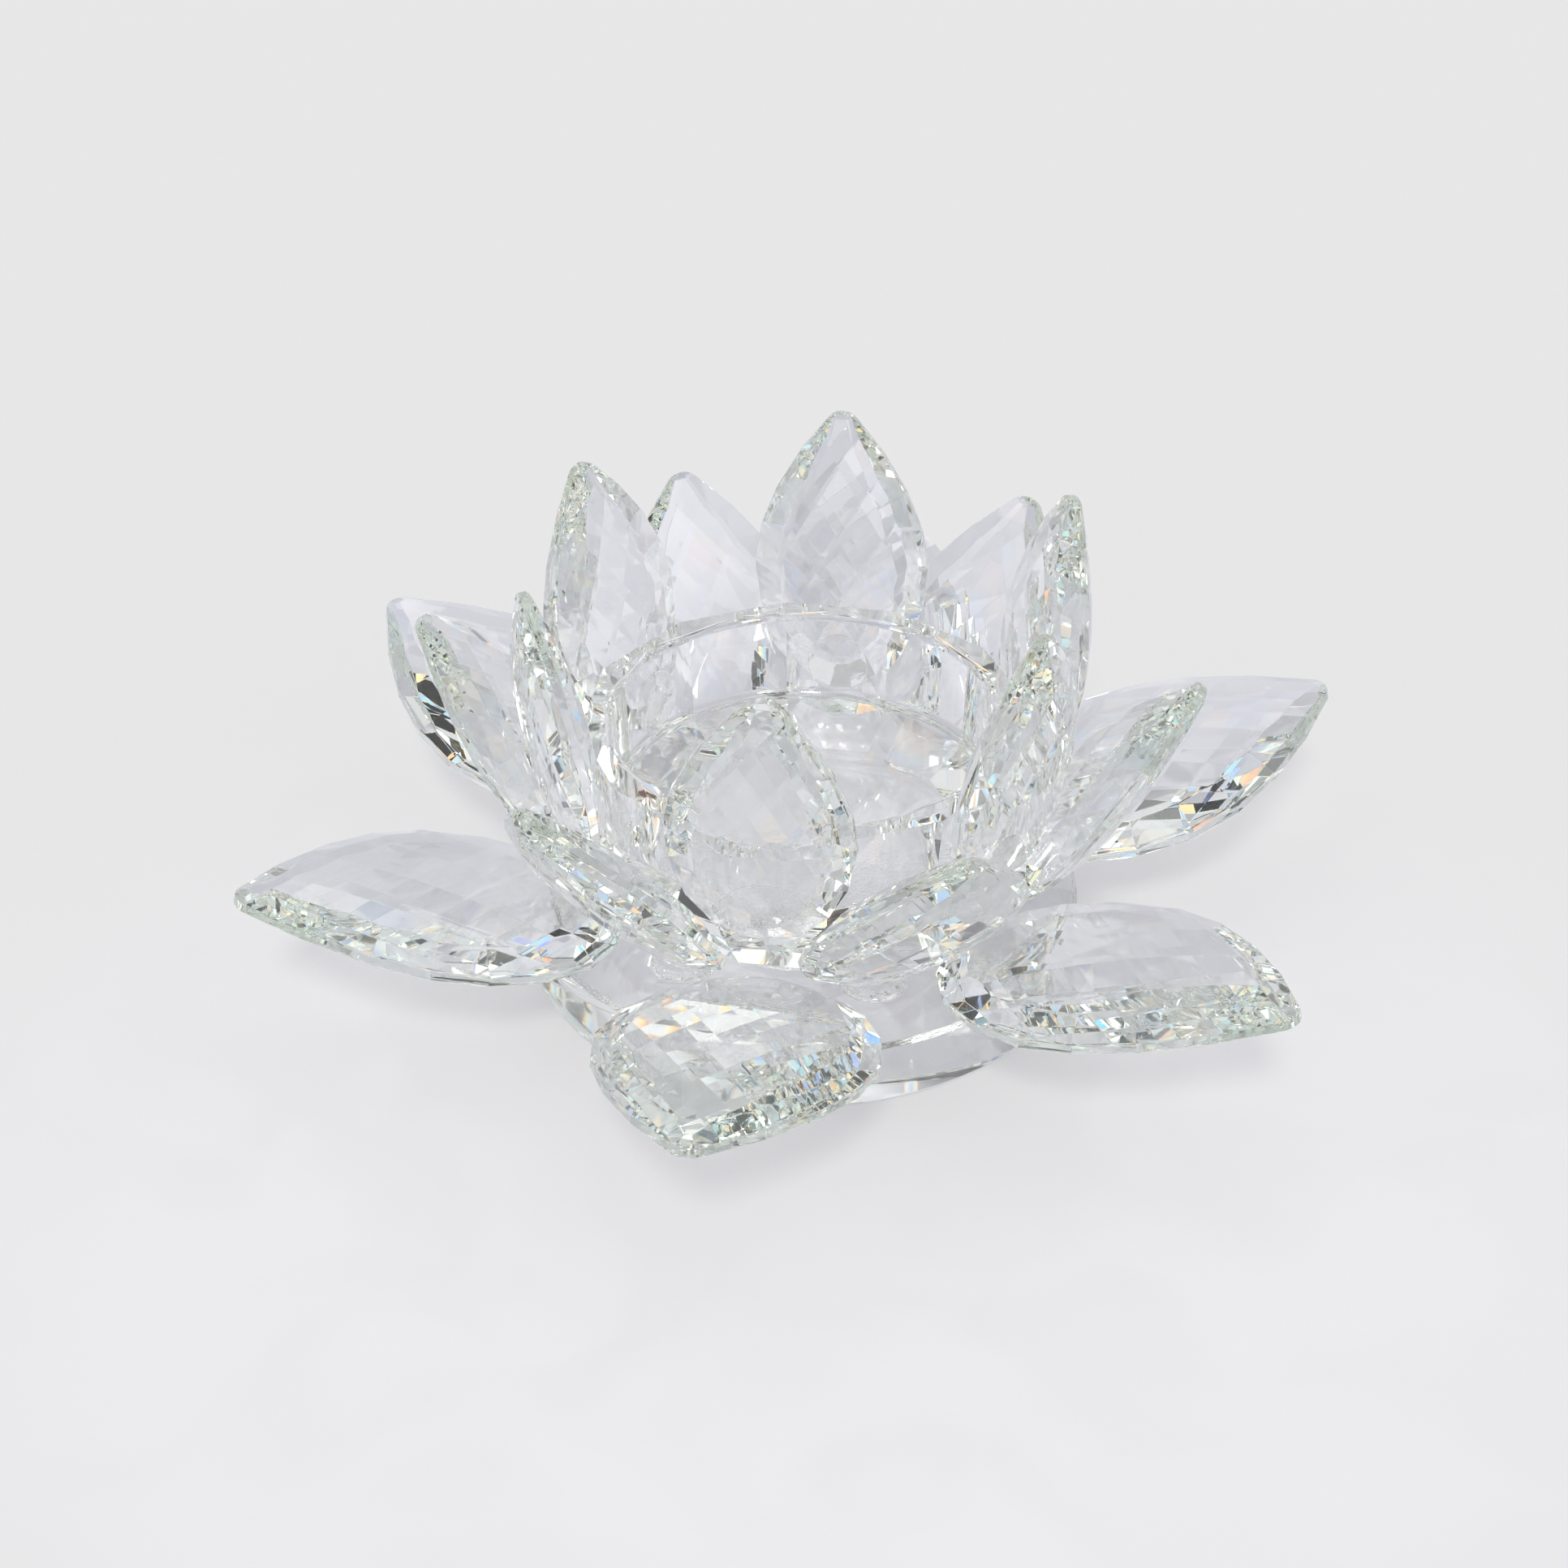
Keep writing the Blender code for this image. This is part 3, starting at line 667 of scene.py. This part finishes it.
def makeWindowGroup():
    tree, start, end = newGroup("studio panel", [
        ("Direction", "NodeSocketVector", None),
        ("Turn", "NodeSocketVector", None),
        ("Half Width", "NodeSocketFloat", 0.3),
        ("Half Height", "NodeSocketFloat", 0.3),
    ], [("Inside", "NodeSocketFloat"), ("Across", "NodeSocketFloat")])
    turned = addNode(tree, "ShaderNodeVectorRotate", rotation_type="EULER_XYZ")
    tree.links.new(start.outputs["Direction"], turned.inputs["Vector"])
    tree.links.new(start.outputs["Turn"], turned.inputs["Rotation"])
    split = addNode(tree, "ShaderNodeSeparateXYZ")
    tree.links.new(turned.outputs["Vector"], split.inputs["Vector"])
    ahead = addMath(tree, "MAXIMUM", split.outputs["X"], 0.001)
    across = addMath(tree, "DIVIDE", addMath(tree, "DIVIDE", split.outputs["Y"], ahead), start.outputs["Half Width"])
    up = addMath(tree, "DIVIDE", addMath(tree, "DIVIDE", split.outputs["Z"], ahead), start.outputs["Half Height"])
    reach = addMath(tree, "MAXIMUM", addMath(tree, "ABSOLUTE", across, 0.0), addMath(tree, "ABSOLUTE", up, 0.0))
    inside = addNode(tree, "ShaderNodeMapRange", {"From Min": 1.04, "From Max": 0.98, "To Min": 0.0, "To Max": 1.0})
    tree.links.new(reach, inside.inputs["Value"])
    tree.links.new(inside.outputs["Result"], end.inputs["Inside"])
    half = addMath(tree, "ADD", addMath(tree, "MULTIPLY", across, 0.5), 0.5)
    tree.links.new(half, end.inputs["Across"])
    return tree


def makeStudio():
    look = studioLook
    world = bpy.data.worlds.new("studio")
    scene.world = world
    world.use_nodes = True
    tree = world.node_tree
    background = tree.nodes["Background"]
    direction = addNode(tree, "ShaderNodeTexCoord").outputs["Generated"]
    split = addNode(tree, "ShaderNodeSeparateXYZ")
    tree.links.new(direction, split.inputs["Vector"])
    group = makeWindowGroup()

    def cover(under, factor, over):
        mix = addNode(tree, "ShaderNodeMix", data_type="RGBA")
        tree.links.new(factor, mix.inputs["Factor"])
        tree.links.new(under, mix.inputs["A"])
        tree.links.new(over, mix.inputs["B"])
        return mix.outputs["Result"]

    dome = addRamp(tree, split.outputs["Z"], [(0.0, look["domeLow"]), (1.0, look["domeHigh"])])
    shifted = addNode(tree, "ShaderNodeVectorMath", operation="ADD")
    shifted.inputs[1].default_value = look["cellShift"]
    tree.links.new(direction, shifted.inputs[0])
    cells = addNode(tree, "ShaderNodeTexVoronoi", {"Scale": look["cellScale"]})
    tree.links.new(shifted.outputs["Vector"], cells.inputs["Vector"])
    tones = addNode(tree, "ShaderNodeSeparateColor")
    tree.links.new(cells.outputs["Color"], tones.inputs["Color"])
    borders = addNode(tree, "ShaderNodeTexVoronoi", {"Scale": look["cellScale"]}, feature="DISTANCE_TO_EDGE")
    tree.links.new(shifted.outputs["Vector"], borders.inputs["Vector"])
    edge = addMath(tree, "DIVIDE", borders.outputs["Distance"], look["fringe"])
    room = cover(addRamp(tree, edge, look["fringeStops"]), addMath(tree, "GREATER_THAN", edge, 1.0), addRamp(tree, tones.outputs["Red"], look["cellStops"], "CONSTANT"))
    shade = addNode(tree, "ShaderNodeMix", {"Factor": 1.0}, data_type="RGBA", blend_type="MULTIPLY")
    shade.inputs["A"].default_value = look["paper"]
    tree.links.new(addRamp(tree, tones.outputs["Green"], look["paperStops"], "CONSTANT"), shade.inputs["B"])
    low = addNode(tree, "ShaderNodeMapRange", {"From Min": look["haze"][0], "From Max": look["haze"][1], "To Min": look["haze"][2], "To Max": 0.0})
    tree.links.new(split.outputs["Z"], low.inputs["Value"])
    room = cover(room, low.outputs["Result"], shade.outputs["Result"])
    side = addNode(tree, "ShaderNodeMapRange", {"From Min": look["paperSide"][0], "From Max": look["paperSide"][1]})
    tree.links.new(split.outputs["Y"], side.inputs["Value"])
    room = cover(room, side.outputs["Result"], shade.outputs["Result"])
    for azimuth, elevation, halfWidth, halfHeight, level in look["panels"]:
        panel = addNode(tree, "ShaderNodeGroup", node_tree=group)
        tree.links.new(direction, panel.inputs["Direction"])
        turn = Matrix.Rotation(math.radians(elevation), 3, "Y") @ Matrix.Rotation(math.radians(-azimuth), 3, "Z")
        panel.inputs["Turn"].default_value = turn.to_euler("XYZ")
        panel.inputs["Half Width"].default_value = math.tan(math.radians(halfWidth))
        panel.inputs["Half Height"].default_value = math.tan(math.radians(halfHeight))
        grey = (level, level, level, 1.0)
        fringe = 2.0 / (2 * halfWidth)
        if level > 1:
            bands = [(0.0, (0.3, 0.35, 1.2, 1.0)), (fringe / 2, (0.4, 1.1, 1.4, 1.0)), (fringe, grey), (1 - fringe, grey),
                     (1 - fringe / 2, (1.8, 1.3, 0.5, 1.0)), (1.0, (1.3, 0.5, 0.35, 1.0))]
        else:
            bands = [(0.0, (1.1, 0.95, 0.5, 1.0)), (fringe / 2, (1.0, 0.5, 0.25, 1.0)), (fringe, grey), (1 - fringe, grey),
                     (1 - fringe / 2, (0.2, 0.3, 0.9, 1.0)), (1.0, (0.5, 0.8, 1.1, 1.0))]
        room = cover(room, panel.outputs["Inside"], addRamp(tree, panel.outputs["Across"], bands))

    path = addNode(tree, "ShaderNodeLightPath")
    through = addMath(tree, "MAXIMUM", path.outputs["Is Glossy Ray"], path.outputs["Is Transmission Ray"])
    direct = addMath(tree, "LESS_THAN", path.outputs["Diffuse Depth"], 0.5)
    lit = cover(dome, addMath(tree, "MULTIPLY", through, direct), room)
    backdrop = addNode(tree, "ShaderNodeRGB")
    backdrop.outputs["Color"].default_value = look["backdrop"]
    tree.links.new(cover(lit, path.outputs["Is Camera Ray"], backdrop.outputs["Color"]), background.inputs["Color"])

    lamp = bpy.data.lights.new("soft box", "SUN")
    lamp.energy = look["lampStrength"]
    lamp.angle = math.radians(look["lampSpread"])
    lamp.color = look["lampColour"]
    lampObject = bpy.data.objects.new("soft box", lamp)
    lampObject.rotation_euler = Vector(look["lampDirection"]).to_track_quat("Z", "Y").to_euler()
    scene.collection.objects.link(lampObject)


makeStudio()
print("floor and lights set")


# camera, at the photograph's angle

cameraLook = {"place": (-0.00252, -0.31078, 0.22967), "elevation": 33.785, "roll": -0.379, "lens": 73.11}


def makeCamera():
    look = cameraLook
    camera = bpy.data.cameras.new("camera")
    camera.lens = look["lens"]
    eye = bpy.data.objects.new("camera", camera)
    scene.collection.objects.link(eye)
    tilt = Matrix.Rotation(math.radians(90 - look["elevation"]), 4, "X")
    roll = Matrix.Rotation(math.radians(look["roll"]), 4, "Z")
    eye.matrix_world = Matrix.Translation(look["place"]) @ tilt @ roll
    scene.camera = eye
    scene.view_settings.view_transform = "Standard"
    for kind in ("max_bounces", "glossy_bounces", "transmission_bounces"):
        setattr(scene.cycles, kind, 40)  # light crosses many facets before it leaves the glass


makeCamera()

bpy.context.view_layer.update()
print("done")
